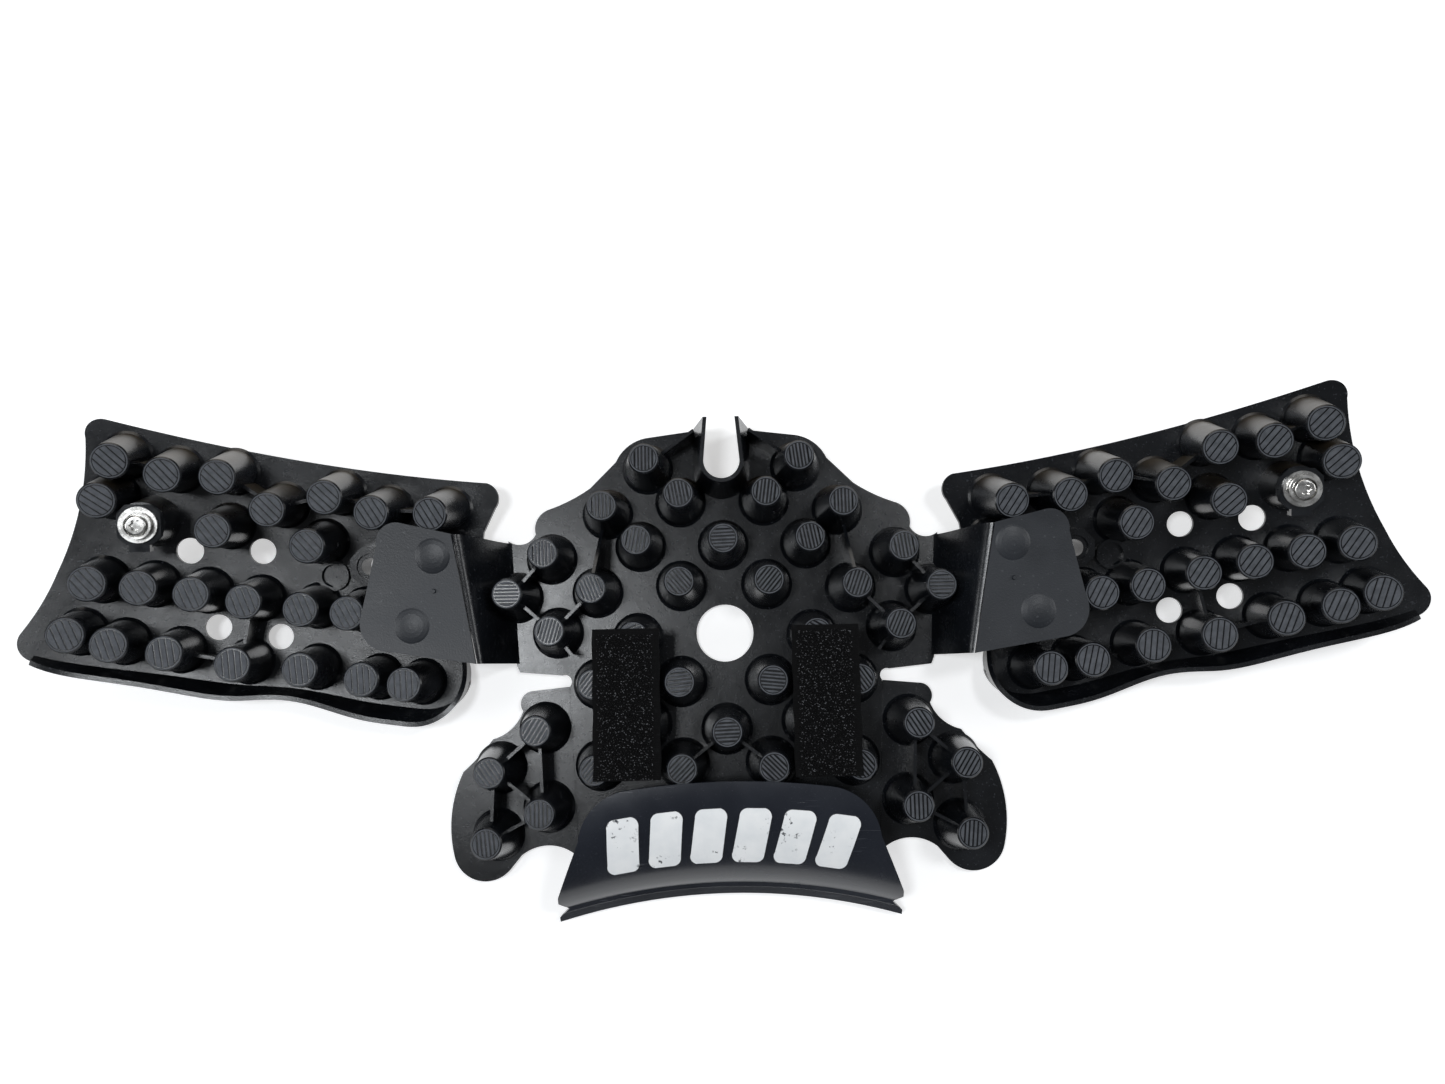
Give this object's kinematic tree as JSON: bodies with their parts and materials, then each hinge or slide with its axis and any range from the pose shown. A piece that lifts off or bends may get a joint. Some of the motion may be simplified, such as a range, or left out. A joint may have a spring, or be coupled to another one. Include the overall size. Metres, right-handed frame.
{
  "type": "helmet impact liner",
  "caption": "Flat-laid black moulded impact liner: sheet with tapered cushioning posts, two hinged curved wings, two folding lobes and a glossy brow plate that hooks over a shell edge.",
  "frame": {"origin": "centre of the round window, on the underside plane that the liner rests on", "axes": "+X towards the right wing as seen from the post side, +Y towards the slotted crown edge, +Z out of the post side"},
  "size_m": [0.5295, 0.1986, 0.0557],
  "materials": {
    "tpu_black": "satin moulded, fine grain",
    "brow_gloss": "glossy, scuffed",
    "mark_white": "worn gloss print",
    "hook_tape": "hook pile on a woven base",
    "stainless": "bright stainless",
    "clip_black": "glossy black"
  },
  "bodies": {
    "center": {"center_panel": "tpu_black", "brow_plate": "brow_gloss", "brow_marks": "mark_white", "left_hook_strip": "hook_tape", "right_hook_strip": "hook_tape"},
    "left_lobe": {"left_lobe": "tpu_black"},
    "right_lobe": {"right_lobe": "tpu_black"},
    "left_wing": {"left_wing": "tpu_black", "left_tab": "tpu_black", "left_retainer_clip": "clip_black", "left_flange_washer": "stainless", "left_cup_washer": "stainless", "left_screw": "stainless", "left_socket_insert": "tpu_black"},
    "right_wing": {"right_wing": "tpu_black", "right_tab": "tpu_black", "right_retainer_clip": "clip_black", "right_flange_washer": "stainless", "right_cup_washer": "stainless", "right_screw": "stainless", "right_socket_insert": "tpu_black"}
  },
  "joints": [
    {"name": "right_wing_fold", "type": "hinge", "parent": "center", "child": "right_wing", "pos_m": [0.0963, 0.01365, 0.0344], "axis": [-0.172, -0.981, -0.0901], "range_deg": [0, 80]},
    {"name": "left_wing_fold", "type": "hinge", "parent": "center", "child": "left_wing", "pos_m": [-0.0963, 0.01365, 0.0344], "axis": [-0.172, 0.981, 0.0901], "range_deg": [0, 80]},
    {"name": "right_lobe_fold", "type": "hinge", "parent": "center", "child": "right_lobe", "pos_m": [0.06012, -0.05257, 0.002], "axis": [-0.0494, -0.9988, 0], "range_deg": [0, 20]},
    {"name": "left_lobe_fold", "type": "hinge", "parent": "center", "child": "left_lobe", "pos_m": [-0.06012, -0.05257, 0.002], "axis": [-0.0494, 0.9988, 0], "range_deg": [0, 20]}
  ]
}
